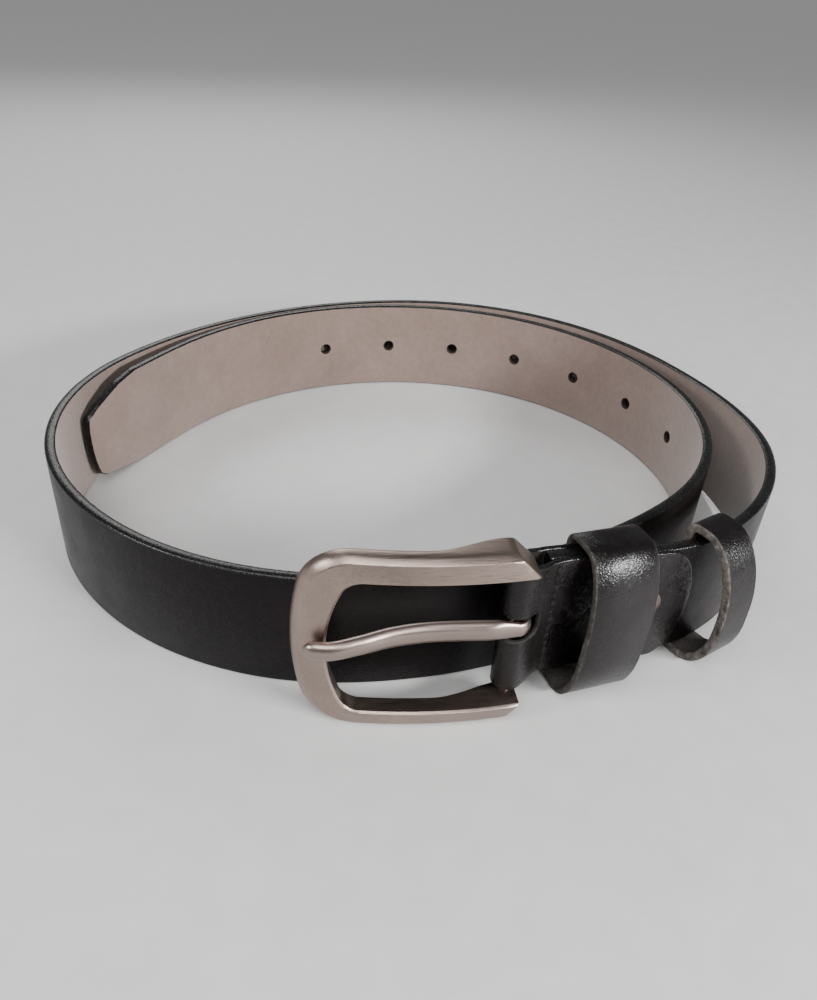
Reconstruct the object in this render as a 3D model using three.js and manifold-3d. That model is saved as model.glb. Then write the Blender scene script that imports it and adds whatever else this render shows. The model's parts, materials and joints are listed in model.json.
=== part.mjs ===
// A man's leather dress belt, lying on its edge in a loose coil of about one and a half turns.
// Millimetres, +Z up. The buckle stands at the front (-Y) with its bow to the left (-X).
// The finished group is moved so that the middle of its footprint on the table is the origin.

import * as THREE from 'three';
import { mergeVertices } from 'three/addons/utils/BufferGeometryUtils.js';
import Module from 'manifold-3d';

const wasm = await Module();
wasm.setup();

// ---------------------------------------------------------------- driving dimensions

const GAP = 0.3; // play left between pieces that touch

const STRAP_WIDTH = 38;
const STRAP_THICKNESS = 3.4;
const STRAP_LENGTH = 1150; // buckle bar to tip
const STRAP_START = 7; // the strap's cut end, hidden between the flaps of the chape
const STRAP_BEVEL = 0.8;
const STRAP_STEP = 9;

const HOLE_COUNT = 7;
const HOLE_PITCH = 30;
const HOLE_RADIUS = 2;
const FIRST_HOLE_FROM_TIP = 126;

// The tip's upper and lower outlines: [distance from the end, height].
const TIP_UPPER = [[23, 38], [2, 30], [0, 26.5]];
const TIP_LOWER = [[25, 0], [12, 2], [3, 4], [1, 9.5], [0, 17.5]];

// How the strap lies on the table, from the buckle: straight, then one bend after another,
// each with its length and the angle that it turns to the left. BEND_BLEND rounds the joins.
const START_X = 0.5; // the strap's middle line passes just behind the buckle bar
const START_Y = 3.25;
const START_HEADING = THREE.MathUtils.degToRad(13.5);
const STRAIGHT_LENGTH = 45;
const BEND_BLEND = 10;
const BENDS = [
  { length: 100, turn: 72 },
  { length: 90, turn: 43 },
  { length: 100, turn: 55 },
  { length: 130, turn: 51 },
  { length: 90, turn: 64 },
  { length: 100, turn: 59 },
  { length: 110, turn: 40 },
  { length: 90, turn: 64 },
  { length: 100, turn: 59 },
  { length: 145, turn: 74 },
  { length: 50, turn: 6 },
];

// The buckle and the keepers are taller than the strap, so they hold its edge off the table.
const BUCKLE_LIFT = { height: 7.1, from: 0, length: 62 };
const KEEPER_LIFT = { height: 3.2, from: 110, length: 90 };

const FRAME_HEIGHT = 56.4;
const WINDOW_HEIGHT = 42.8;
const BOW_REACH = 57.8; // bar centre to the outside of the bow
const BOW_FACE = 8.8;
const ARM_END_INNER = 2.8; // the arms end in a mitre, longest at the window
const UPPER_ARM_END_OUTER = -3.8;
const LOWER_ARM_END_OUTER = -0.6;
const FRONT_FACE_SHARE = 0.79; // of a limb's breadth; beyond it the outside slopes back
const FRAME_DEPTH = 4.8;
const FRAME_DEPTH_AT_BAR = 8.8;
const FRAME_SLOPE = 1.3; // the front face falls back this far from window to outside
const FRAME_CURVE_RADIUS = 150; // the buckle is curved to the waist
const FRAME_CURVE_MIDDLE = -17;
const FRAME_FRONT = -7.3; // outer edge of the front face, midway along the arms

const BAR_RADIUS = 1.5;
const BAR_INTO_ARM = 0.7;

const PRONG_WIDTH = 6.4;
const PRONG_THICKNESS = 4;
const PRONG_EYE_THICKNESS = 2.2;
const PRONG_ABOVE_MIDDLE = 1.1;
const NOTCH_RADIUS = 4.4;
const NOTCH_DEPTH = 1.3;
const NOTCH_LENGTH = 13;
const NOTCH_CENTRE = 1.5;

const CHAPE_THICKNESS = 1.6;
const CHAPE_TUBE_RADIUS = 4.2;
const BAR_ALONG = -1.3; // the bar in the strap's own measures: along it and out from it
const BAR_OUT = 3;
const FRONT_FLAP_END = 55.4;
const FRONT_FLAP_ROUNDING = 11;
const BACK_FLAP_END = 50;
const BACK_FLAP_ROUNDING = 9;
const SLOT_HEIGHT = 9.8;
const SLOT_END = 4.4;

const STITCH_ALONG = 8.2;
const STITCH_PITCH = 2.8;
const STITCH_COUNT = 13;
const THREAD_RADIUS = 0.25;
const STITCH_HOLE_RADIUS = 0.8;

const SANDWICH_DEPTH = 9; // through the strap and both flaps of the chape

const STUD_ALONG = 40;
const STUD_HEIGHT = 21;
const STUD_CAP_RADIUS = 4.2;
const STUD_CAP_HEIGHT = 2;
const STUD_SHANK_RADIUS = 1.5;
const STUD_BACK_RADIUS = 3.3;
const STUD_BACK_HEIGHT = 1.3;

// Each keeper is a hoop: out and back are its reach from the strap's middle line, and each
// corner is a quarter ellipse [outward radius, upward radius].
const FIXED_KEEPER = {
  from: 13.8, to: 33.4, out: 12.9, back: 5.9, low: 0.7, high: 49.9, thickness: 1.8, pitch: 2.6,
  corners: { backHigh: [4, 4], frontHigh: [9.6, 22], frontLow: [9, 17], backLow: [4, 4] },
};
const LOOSE_KEEPER = {
  from: 56.4, to: 68.2, out: 14.7, back: 5.2, low: 0.2, high: 45.3, thickness: 2.6, pitch: 0,
  corners: { backHigh: [4, 4], frontHigh: [13, 24], frontLow: [11, 17], backLow: [4, 4] },
};
const KEEPER_BUTT_GAP = 0.6;
const STAPLE_WIRE = 0.7;
const STAPLE_CROWN = 6;

const HOLE_SIDES = 16;
const SMALL_HOLE_SIDES = 6;

// ---------------------------------------------------------------- materials

const blackLeather = { color: 0x0d0c0d, roughness: 0.42, metalness: 0 };
const pebbledLeather = { color: 0x141213, roughness: 0.5, metalness: 0 };
const blackThread = { color: 0x0a0a0a, roughness: 0.7, metalness: 0 };
const satinNickel = { color: 0xa79d96, roughness: 0.32, metalness: 1 };
const brightSteel = { color: 0xc4c1bd, roughness: 0.25, metalness: 1 };

// ---------------------------------------------------------------- closed meshes and booleans

function toManifold(geometry) {
  const plain = geometry.index ? geometry.toNonIndexed() : geometry.clone();
  plain.deleteAttribute('normal');
  plain.deleteAttribute('uv');
  const merged = mergeVertices(plain, 1e-4);
  const vertProperties = new Float32Array(merged.attributes.position.array);
  const triVerts = new Uint32Array(merged.index.array);
  return new wasm.Manifold(new wasm.Mesh({ numProp: 3, vertProperties, triVerts }));
}

function toGeometry(manifold) {
  const result = manifold.getMesh();
  const geometry = new THREE.BufferGeometry();
  geometry.setAttribute('position', new THREE.BufferAttribute(result.vertProperties, 3));
  geometry.setIndex(new THREE.BufferAttribute(result.triVerts, 1));
  geometry.computeVertexNormals();
  return geometry;
}

function cut(geometry, tools) {
  let body = toManifold(geometry);
  for (const tool of tools) {
    body = body.subtract(toManifold(tool));
  }
  return toGeometry(body);
}

// A closed skin over a row of rings that all have the same number of points. Seen from the
// first ring towards the last, each ring runs anticlockwise around the solid.
function loft(rings) {
  const size = rings[0].length;
  const positions = [];
  const index = [];
  for (const ring of rings) {
    for (const point of ring) {
      positions.push(point.x, point.y, point.z);
    }
  }
  for (let row = 0; row < rings.length - 1; row += 1) {
    for (let i = 0; i < size; i += 1) {
      const a = row * size + i;
      const b = row * size + ((i + 1) % size);
      index.push(a, a + size, b);
      index.push(b, a + size, b + size);
    }
  }
  const last = (rings.length - 1) * size;
  for (let i = 1; i < size - 1; i += 1) {
    index.push(0, i, i + 1);
    index.push(last, last + i + 1, last + i);
  }
  const geometry = new THREE.BufferGeometry();
  geometry.setAttribute('position', new THREE.Float32BufferAttribute(positions, 3));
  geometry.setIndex(index);
  geometry.computeVertexNormals();
  return geometry;
}

function named(name, geometry, finish) {
  const mesh = new THREE.Mesh(geometry, new THREE.MeshStandardMaterial(finish));
  mesh.name = name;
  return mesh;
}

// ---------------------------------------------------------------- the way the strap lies

function smoothStep(value) {
  const t = THREE.MathUtils.clamp(value, 0, 1);
  return t * t * (3 - 2 * t);
}

function lift(along) {
  let height = 0;
  for (const drop of [BUCKLE_LIFT, KEEPER_LIFT]) {
    height += drop.height * (1 - smoothStep((along - drop.from) / drop.length));
  }
  return height;
}

// Integral of a ramp that rises from 0 to 1 over the given length.
function rampIntegral(distance, length) {
  if (distance <= 0) {
    return 0;
  }
  return distance < length ? (distance * distance) / (2 * length) : distance - length / 2;
}

function headingAt(along) {
  let heading = START_HEADING;
  let start = STRAIGHT_LENGTH;
  for (const bend of BENDS) {
    const ahead = rampIntegral(along + BEND_BLEND - start, bend.length);
    const behind = rampIntegral(along - BEND_BLEND - start, bend.length);
    heading += (THREE.MathUtils.degToRad(bend.turn) * (ahead - behind)) / (2 * BEND_BLEND);
    start += bend.length;
  }
  return heading;
}

// The strap's middle line, one point for each half millimetre from before the bar to the tip.
const ROUTE_STEP = 0.5;
const ROUTE_BEFORE_BAR = 10;
const route = [];
{
  let x = START_X - ROUTE_BEFORE_BAR * Math.cos(START_HEADING);
  let y = START_Y - ROUTE_BEFORE_BAR * Math.sin(START_HEADING);
  for (let along = -ROUTE_BEFORE_BAR; along <= STRAP_LENGTH + ROUTE_STEP; along += ROUTE_STEP) {
    route.push(new THREE.Vector2(x, y));
    const heading = headingAt(along + ROUTE_STEP / 2);
    x += ROUTE_STEP * Math.cos(heading);
    y += ROUTE_STEP * Math.sin(heading);
  }
}

// The point at a distance along the strap, out from its middle line and up from its lower edge.
function place(along, out, up) {
  const position = THREE.MathUtils.clamp((along + ROUTE_BEFORE_BAR) / ROUTE_STEP, 0, route.length - 1.001);
  const before = Math.floor(position);
  const spot = route[before].clone().lerp(route[before + 1], position - before);
  const heading = headingAt(along);
  return new THREE.Vector3(
    spot.x + out * Math.sin(heading),
    spot.y - out * Math.cos(heading),
    up + lift(along),
  );
}

// A frame on the strap: +X along it, -Y out of its grain side, +Z up.
function frameAt(along, out, up) {
  const matrix = new THREE.Matrix4().makeRotationZ(headingAt(along));
  return matrix.setPosition(place(along, out, up));
}

// A round drill of the given depth, centred in the strap's thickness.
function drill(along, up, radius, depth, sides) {
  const cylinder = new THREE.CylinderGeometry(radius, radius, depth, sides);
  return cylinder.applyMatrix4(frameAt(along, 0, up));
}

// ---------------------------------------------------------------- strap

// Height of an edge of the tip, read off its outline; beyond the outline it stays level.
function tipEdge(outline, fromEnd) {
  const next = outline.findIndex(([distance]) => distance <= fromEnd);
  if (next <= 0) {
    return outline[next === 0 ? 0 : outline.length - 1][1];
  }
  const [farther, nearer] = [outline[next - 1], outline[next]];
  const share = (fromEnd - nearer[0]) / (farther[0] - nearer[0]);
  return THREE.MathUtils.lerp(nearer[1], farther[1], share);
}

function strapSection(along) {
  const half = STRAP_THICKNESS / 2;
  const inset = half - STRAP_BEVEL;
  const high = tipEdge(TIP_UPPER, STRAP_LENGTH - along);
  const low = tipEdge(TIP_LOWER, STRAP_LENGTH - along);
  const corners = [
    [half, low + STRAP_BEVEL],
    [half, high - STRAP_BEVEL],
    [inset, high],
    [-inset, high],
    [-half, high - STRAP_BEVEL],
    [-half, low + STRAP_BEVEL],
    [-inset, low],
    [inset, low],
  ];
  return corners.map(([out, up]) => place(along, out, up));
}

const stitchHeights = Array.from({ length: STITCH_COUNT }, (unused, i) => (
  STRAP_WIDTH / 2 + (i - (STITCH_COUNT - 1) / 2) * STITCH_PITCH
));

function sandwichDrills() {
  const drills = stitchHeights.map((up) => (
    drill(STITCH_ALONG, up, STITCH_HOLE_RADIUS, SANDWICH_DEPTH, SMALL_HOLE_SIDES)
  ));
  drills.push(drill(STUD_ALONG, STUD_HEIGHT, STUD_SHANK_RADIUS + GAP, SANDWICH_DEPTH, HOLE_SIDES));
  return drills;
}

function buildStrap() {
  const tipStart = STRAP_LENGTH - TIP_LOWER[0][0];
  const steps = Math.round((tipStart - STRAP_START) / STRAP_STEP);
  const stations = [];
  for (let i = 0; i <= steps; i += 1) {
    stations.push(STRAP_START + ((tipStart - STRAP_START) * i) / steps);
  }
  const tipStations = [...TIP_UPPER, ...TIP_LOWER.slice(1, -1)].map(([fromEnd]) => STRAP_LENGTH - fromEnd);
  stations.push(...tipStations.sort((a, b) => a - b));
  const tools = sandwichDrills();
  for (let i = 0; i < HOLE_COUNT; i += 1) {
    const along = STRAP_LENGTH - FIRST_HOLE_FROM_TIP - i * HOLE_PITCH;
    tools.push(drill(along, STRAP_WIDTH / 2, HOLE_RADIUS, STRAP_THICKNESS + 1, HOLE_SIDES));
  }
  return named('strap', cut(loft(stations.map(strapSection)), tools), blackLeather);
}

// ---------------------------------------------------------------- chape: the tab round the bar

// The chape's middle line seen from above, in the strap's own measures: up the back flap,
// around the bar and back along the front flap.
function chapeLine() {
  const flap = STRAP_THICKNESS / 2 + GAP + CHAPE_THICKNESS / 2;
  const radius = CHAPE_TUBE_RADIUS - CHAPE_THICKNESS / 2;
  const wrap = THREE.MathUtils.degToRad(75);
  const points = [];
  points.push([10.5, -flap], [7, -flap], [3.4, -2.1]);
  const turns = 8;
  for (let i = 0; i <= turns; i += 1) {
    const angle = -wrap - ((2 * Math.PI - 2 * wrap) * i) / turns;
    points.push([BAR_ALONG + radius * Math.cos(angle), BAR_OUT + radius * Math.sin(angle)]);
  }
  points.push([2.2, 5.3], [5, 3.9], [8, 3.1], [11, flap]);
  const curve = new THREE.SplineCurve(points.map(([along, out]) => new THREE.Vector2(along, out)));
  return { flap, wrapPoints: curve.getSpacedPoints(44) };
}

// Height of a flap at a place near its rounded end.
function flapHalfHeight(along, end, rounding) {
  const into = THREE.MathUtils.clamp((along - (end - rounding)) / rounding, 0, 0.9995);
  return (STRAP_WIDTH / 2) * Math.sqrt(1 - into * into);
}

function flapStations(end, rounding, from) {
  const stations = [];
  const straight = 4;
  for (let i = 0; i < straight; i += 1) {
    stations.push(from + ((end - rounding - from) * i) / straight);
  }
  const arcs = 9;
  for (let i = 0; i <= arcs; i += 1) {
    stations.push(end - rounding + rounding * Math.sin((Math.PI / 2) * (i / arcs)));
  }
  return stations;
}

function buildChape() {
  const { flap, wrapPoints } = chapeLine();
  const line = [];
  for (const along of flapStations(BACK_FLAP_END, BACK_FLAP_ROUNDING, 13).reverse()) {
    const half = flapHalfHeight(along, BACK_FLAP_END, BACK_FLAP_ROUNDING);
    line.push({ at: new THREE.Vector2(along, -flap), half });
  }
  for (const at of wrapPoints) {
    line.push({ at, half: STRAP_WIDTH / 2 });
  }
  for (const along of flapStations(FRONT_FLAP_END, FRONT_FLAP_ROUNDING, 13)) {
    const half = flapHalfHeight(along, FRONT_FLAP_END, FRONT_FLAP_ROUNDING);
    line.push({ at: new THREE.Vector2(along, flap), half });
  }
  const rings = line.map(({ at, half }, i) => {
    const before = line[Math.max(i - 1, 0)].at;
    const after = line[Math.min(i + 1, line.length - 1)].at;
    const direction = after.clone().sub(before).normalize();
    const side = new THREE.Vector2(-direction.y, direction.x).multiplyScalar(CHAPE_THICKNESS / 2);
    const low = STRAP_WIDTH / 2 - half;
    const high = STRAP_WIDTH / 2 + half;
    return [
      place(at.x - side.x, at.y - side.y, low),
      place(at.x + side.x, at.y + side.y, low),
      place(at.x + side.x, at.y + side.y, high),
      place(at.x - side.x, at.y - side.y, high),
    ];
  });
  const slotLength = 14;
  const slot = new THREE.BoxGeometry(slotLength, 14, SLOT_HEIGHT);
  slot.translate(SLOT_END - slotLength / 2, -BAR_OUT, STRAP_WIDTH / 2);
  slot.applyMatrix4(frameAt(0, 0, 0));
  return named('chape', cut(loft(rings), [slot, ...sandwichDrills()]), pebbledLeather);
}

// ---------------------------------------------------------------- buckle

const FRAME_MIDDLE = FRAME_HEIGHT / 2;

// Half of a frame outline, a list of points from the arm's end to the middle of the bow. The
// corner is an arc, and the side of the bow is a flatter arc that meets it.
function halfOutline(half, reach, corner, side, armEnd, armSteps) {
  const points = [];
  const spread = Math.asin((half - corner) / (side - corner));
  const centreX = -reach + side - (side - corner) * Math.cos(spread);
  for (let i = 0; i < armSteps; i += 1) {
    points.push(new THREE.Vector2(armEnd + ((centreX - armEnd) * i) / armSteps, half));
  }
  const cornerSteps = 6;
  for (let i = 0; i < cornerSteps; i += 1) {
    const angle = Math.PI / 2 + ((Math.PI / 2 - spread) * i) / cornerSteps;
    const x = centreX + corner * Math.cos(angle);
    points.push(new THREE.Vector2(x, half - corner + corner * Math.sin(angle)));
  }
  const sideSteps = 5;
  for (let i = 0; i <= sideSteps; i += 1) {
    const angle = spread * (1 - i / sideSteps);
    points.push(new THREE.Vector2(-reach + side - side * Math.cos(angle), side * Math.sin(angle)));
  }
  return points;
}

function wholeOutline(half, reach, corner, side, upperEnd, lowerEnd) {
  const upper = halfOutline(half, reach, corner, side, upperEnd, 9);
  const mirrored = halfOutline(half, reach, corner, side, lowerEnd, 9).slice(0, -1).reverse();
  return upper.concat(mirrored.map((point) => new THREE.Vector2(point.x, -point.y)));
}

// How far back the curved buckle lies at a distance from its middle.
function frameSag(x) {
  return (x - FRAME_CURVE_MIDDLE) ** 2 / (2 * FRAME_CURVE_RADIUS);
}

function buildFrame() {
  const innerReach = BOW_REACH - BOW_FACE;
  const inner = wholeOutline(WINDOW_HEIGHT / 2, innerReach, 6, 45, ARM_END_INNER, ARM_END_INNER);
  const outerEnds = [UPPER_ARM_END_OUTER, LOWER_ARM_END_OUTER];
  const outer = wholeOutline(FRAME_HEIGHT / 2, BOW_REACH, 14, 80, ...outerEnds);
  const rings = inner.map((near, i) => {
    const far = outer[i];
    const across = (share) => near.clone().lerp(far, share);
    const depthGrowth = smoothStep((near.x + 20) / 20) * (FRAME_DEPTH_AT_BAR - FRAME_DEPTH);
    const rear = FRAME_FRONT + FRAME_DEPTH + depthGrowth;
    const front = FRAME_FRONT;
    const section = [
      [0, front - FRAME_SLOPE + 0.6],
      [0.09, front - FRAME_SLOPE],
      [FRONT_FACE_SHARE, front - 0.1],
      [0.93, front + 0.9],
      [1, front + 2.2],
      [1, rear - 1.2],
      [0.86, rear],
      [0.14, rear],
      [0, rear - 0.9],
    ];
    return section.reverse().map(([share, y]) => {
      const point = across(share);
      return new THREE.Vector3(point.x, y + frameSag(point.x), FRAME_MIDDLE + point.y);
    });
  });
  const barHole = new THREE.CylinderGeometry(
    BAR_RADIUS + GAP, BAR_RADIUS + GAP, WINDOW_HEIGHT + 2 * (BAR_INTO_ARM + GAP), HOLE_SIDES,
  );
  barHole.rotateX(Math.PI / 2);
  barHole.translate(0, 0, FRAME_MIDDLE);
  const notch = new THREE.CylinderGeometry(NOTCH_RADIUS, NOTCH_RADIUS, NOTCH_LENGTH, HOLE_SIDES);
  notch.rotateZ(Math.PI / 2);
  const windowEdge = -BOW_REACH + BOW_FACE;
  const edgeFront = FRAME_FRONT - FRAME_SLOPE + frameSag(windowEdge);
  notch.translate(windowEdge + NOTCH_CENTRE, edgeFront - NOTCH_RADIUS + NOTCH_DEPTH, prongHeight());
  return named('buckle_frame', cut(loft(rings), [barHole, notch]), satinNickel);
}

function buildHeelBar() {
  const length = WINDOW_HEIGHT + 2 * BAR_INTO_ARM;
  const geometry = new THREE.CylinderGeometry(BAR_RADIUS, BAR_RADIUS, length, HOLE_SIDES);
  geometry.rotateX(Math.PI / 2);
  geometry.translate(0, 0, FRAME_MIDDLE);
  return named('heel_bar', geometry, brightSteel);
}

// The prong passes through the slot in the middle of the chape's width.
function prongHeight() {
  return STRAP_WIDTH / 2 + lift(0) + PRONG_ABOVE_MIDDLE;
}

// The prong's middle line from above: a hook round the bar, then the shank, which dips through
// the window and comes forward over the bow.
function prongLine() {
  const hook = BAR_RADIUS + 0.4 + PRONG_EYE_THICKNESS / 2;
  const points = [];
  const hookSteps = 12;
  for (let i = 0; i <= hookSteps; i += 1) {
    const angle = Math.PI * (0.9 - (1.4 * i) / hookSteps);
    points.push(new THREE.Vector2(hook * Math.cos(angle), hook * Math.sin(angle)));
  }
  const shank = new THREE.SplineCurve([
    new THREE.Vector2(0, -hook),
    new THREE.Vector2(-6, -3.2),
    new THREE.Vector2(-14, -2.9),
    new THREE.Vector2(-24, -2.9),
    new THREE.Vector2(-33, -4.1),
    new THREE.Vector2(-41, -6.4),
    new THREE.Vector2(-48, -7.9),
    new THREE.Vector2(-54.4, -7),
  ]);
  return { points: points.concat(shank.getSpacedPoints(18).slice(1)), eyeEnd: hookSteps };
}

function buildProng() {
  const { points, eyeEnd } = prongLine();
  const sides = 14;
  const tipTaper = [0.3, 0.72, 0.94];
  const rings = points.map((at, i) => {
    const before = points[Math.max(i - 1, 0)];
    const after = points[Math.min(i + 1, points.length - 1)];
    const direction = after.clone().sub(before).normalize();
    const side = new THREE.Vector2(-direction.y, direction.x);
    const taper = tipTaper[points.length - 1 - i] ?? 1;
    const swell = smoothStep((i - eyeEnd) / 4);
    const thickness = THREE.MathUtils.lerp(PRONG_EYE_THICKNESS, PRONG_THICKNESS, swell);
    const ring = [];
    for (let k = 0; k < sides; k += 1) {
      const angle = (2 * Math.PI * k) / sides;
      const across = taper * (thickness / 2) * Math.cos(angle);
      const up = taper * (PRONG_WIDTH / 2) * Math.sin(angle);
      ring.push(new THREE.Vector3(at.x + side.x * across, at.y + side.y * across, prongHeight() + up));
    }
    return ring.reverse();
  });
  return named('prong', loft(rings), satinNickel);
}

// ---------------------------------------------------------------- keepers

// A keeper is a strip of leather bent into a hoop whose ends meet at the back. The outline is
// seen along the strap, with x out from the strap and y up.
function hoopShape(keeper) {
  const { out, back, low, high, thickness, corners } = keeper;
  const slit = (low + high) / 2;
  const places = [
    { x: -back, y: high, size: corners.backHigh, start: Math.PI, inward: [1, -1] },
    { x: out, y: high, size: corners.frontHigh, start: Math.PI / 2, inward: [-1, -1] },
    { x: out, y: low, size: corners.frontLow, start: 0, inward: [-1, 1] },
    { x: -back, y: low, size: corners.backLow, start: -Math.PI / 2, inward: [1, 1] },
  ];
  const trace = (path, inset, clockwise) => {
    for (const { x, y, size, start, inward } of clockwise ? places : places.slice().reverse()) {
      const first = clockwise ? start : start - Math.PI / 2;
      const last = clockwise ? start - Math.PI / 2 : start;
      const centre = [x + inward[0] * size[0], y + inward[1] * size[1]];
      path.absellipse(...centre, size[0] - inset, size[1] - inset, first, last, clockwise);
    }
  };
  const shape = new THREE.Shape();
  shape.moveTo(-back, slit + KEEPER_BUTT_GAP / 2);
  trace(shape, 0, true);
  shape.lineTo(-back, slit - KEEPER_BUTT_GAP / 2);
  shape.lineTo(-back + thickness, slit - KEEPER_BUTT_GAP / 2);
  trace(shape, thickness, false);
  shape.lineTo(-back + thickness, slit + KEEPER_BUTT_GAP / 2);
  return shape;
}

// Turns a shape drawn as (out, up) into a solid that runs along +X.
function extrudeAlong(shape, length, curveSegments) {
  const geometry = new THREE.ExtrudeGeometry(shape, { depth: length, bevelEnabled: false, curveSegments });
  geometry.translate(0, 0, -length / 2);
  const basis = new THREE.Matrix4().makeBasis(
    new THREE.Vector3(0, -1, 0), new THREE.Vector3(0, 0, 1), new THREE.Vector3(-1, 0, 0),
  );
  return geometry.applyMatrix4(basis);
}

// A wire staple that closes the hoop: its crown stands upright across the butted ends and its
// two legs go into the leather. The same outline, made larger, drills the leather for it.
function stapleGeometry(keeper, spare) {
  const wire = STAPLE_WIRE + 2 * spare;
  const crown = STAPLE_CROWN / 2 + STAPLE_WIRE / 2 + spare;
  const legInside = crown - wire;
  const slit = (keeper.low + keeper.high) / 2;
  const crownOut = -keeper.back - GAP - STAPLE_WIRE / 2;
  const legEnd = -keeper.back + keeper.thickness * 0.75 + spare;
  const shape = new THREE.Shape();
  shape.moveTo(crownOut - wire / 2, slit - crown);
  shape.lineTo(legEnd, slit - crown);
  shape.lineTo(legEnd, slit - legInside);
  shape.lineTo(crownOut + wire / 2, slit - legInside);
  shape.lineTo(crownOut + wire / 2, slit + legInside);
  shape.lineTo(legEnd, slit + legInside);
  shape.lineTo(legEnd, slit + crown);
  shape.lineTo(crownOut - wire / 2, slit + crown);
  return extrudeAlong(shape, wire, 1);
}

function buildKeeper(name, keeper, stapleOffsets) {
  const width = keeper.to - keeper.from;
  const middle = (keeper.to + keeper.from) / 2;
  const group = new THREE.Group();
  const spot = place(middle, 0, 0);
  group.position.set(spot.x, spot.y, 0);
  group.rotation.set(0, THREE.MathUtils.degToRad(keeper.pitch), headingAt(middle), 'ZYX');
  const drills = stapleOffsets.map((offset) => stapleGeometry(keeper, GAP).translate(offset, 0, 0));
  const hoop = cut(extrudeAlong(hoopShape(keeper), width, 7), drills);
  group.add(named(name, hoop, pebbledLeather));
  stapleOffsets.forEach((offset, i) => {
    const suffix = stapleOffsets.length > 1 ? `_${i + 1}` : '';
    const staple = stapleGeometry(keeper, 0).translate(offset, 0, 0);
    group.add(named(`${name}_staple${suffix}`, staple, brightSteel));
  });
  return group;
}

// ---------------------------------------------------------------- stud and stitching

function lathed(profile, sides) {
  const points = profile.map(([radius, height]) => new THREE.Vector2(radius, height));
  return new THREE.LatheGeometry(points, sides);
}

// Lathes turn about Y, which lies along the strap's inward normal here, so outward is -Y.
function buildStud() {
  const surface = STRAP_THICKNESS / 2 + GAP + CHAPE_THICKNESS + GAP;
  const back = surface + STUD_BACK_HEIGHT - 0.7;
  const cap = lathed([
    [0, -surface - STUD_CAP_HEIGHT],
    [STUD_CAP_RADIUS * 0.45, -surface - STUD_CAP_HEIGHT * 0.9],
    [STUD_CAP_RADIUS * 0.8, -surface - STUD_CAP_HEIGHT * 0.55],
    [STUD_CAP_RADIUS, -surface - 0.35],
    [STUD_CAP_RADIUS, -surface],
    [STUD_SHANK_RADIUS, -surface],
    [STUD_SHANK_RADIUS, back],
    [0, back],
  ], 20);
  cap.applyMatrix4(frameAt(STUD_ALONG, 0, STUD_HEIGHT));
  const socket = STUD_SHANK_RADIUS + GAP;
  const washer = lathed([
    [0, surface + STUD_BACK_HEIGHT - 0.4],
    [socket, surface + STUD_BACK_HEIGHT - 0.4],
    [socket, surface],
    [STUD_BACK_RADIUS, surface],
    [STUD_BACK_RADIUS, surface + STUD_BACK_HEIGHT * 0.5],
    [STUD_BACK_RADIUS * 0.7, surface + STUD_BACK_HEIGHT],
    [0, surface + STUD_BACK_HEIGHT],
  ], 20);
  washer.applyMatrix4(frameAt(STUD_ALONG, 0, STUD_HEIGHT));
  return [
    named('stud', cap, satinNickel),
    named('stud_back', washer, brightSteel),
  ];
}

// One thread of the lock-stitch row. It runs along one face of the sandwich, and at each needle
// hole it dips nearly to the middle and comes back. side is 1 for the front, -1 for the back.
function buildThread(name, side) {
  const surface = STRAP_THICKNESS / 2 + CHAPE_THICKNESS + 2 * GAP + THREAD_RADIUS + 0.3;
  const deep = GAP + THREAD_RADIUS;
  const half = 0.36;
  const tail = 1.1;
  const line = [[surface, stitchHeights[0] - tail]];
  for (const up of stitchHeights) {
    line.push([surface, up - half], [deep, up - half], [deep, up + half], [surface, up + half]);
  }
  line.push([surface, stitchHeights[stitchHeights.length - 1] + tail]);
  const sides = 6;
  const rings = line.map(([out, up], i) => {
    const [outBefore, upBefore] = line[Math.max(i - 1, 0)];
    const [outAfter, upAfter] = line[Math.min(i + 1, line.length - 1)];
    const first = new THREE.Vector2(out - outBefore, up - upBefore).normalize();
    const second = new THREE.Vector2(outAfter - out, upAfter - up).normalize();
    const direction = first.add(second).normalize();
    const stretch = i === 0 || i === line.length - 1 ? 1 : Math.SQRT2;
    const ring = [];
    for (let k = 0; k < sides; k += 1) {
      const angle = (2 * Math.PI * k) / sides;
      const along = THREAD_RADIUS * Math.cos(angle);
      const across = THREAD_RADIUS * stretch * Math.sin(angle);
      ring.push(place(
        STITCH_ALONG + along,
        side * (out - direction.y * across),
        up + direction.x * across,
      ));
    }
    return side > 0 ? ring.reverse() : ring;
  });
  return named(name, loft(rings), blackThread);
}

// ---------------------------------------------------------------- the whole belt

const belt = new THREE.Group();
belt.add(
  buildStrap(),
  buildChape(),
  buildFrame(),
  buildHeelBar(),
  buildProng(),
  buildKeeper('fixed_keeper', FIXED_KEEPER, [-4.5, 4.5]),
  buildKeeper('loose_keeper', LOOSE_KEEPER, [0]),
  ...buildStud(),
  buildThread('front_thread', 1),
  buildThread('back_thread', -1),
);

belt.updateMatrixWorld(true);
const bounds = new THREE.Box3().setFromObject(belt, true);
const middle = bounds.getCenter(new THREE.Vector3());
belt.position.set(-middle.x, -middle.y, -bounds.min.z);

export default belt;
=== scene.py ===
"""A black leather dress belt with a satin prong buckle, lying on its edge in a loose coil.

Metres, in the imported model's frame. Every leather piece is cut out flat, with its holes and
rounded edges, and then bent to the way it lies. Distances named along, out and up are the
strap's own: along it from the buckle bar, out from its middle towards its grain side, and up
from its lower edge.
"""

import json
import math
import random
from bisect import bisect_right

import bmesh
import bpy
from mathutils import Euler, Matrix, Vector

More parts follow.
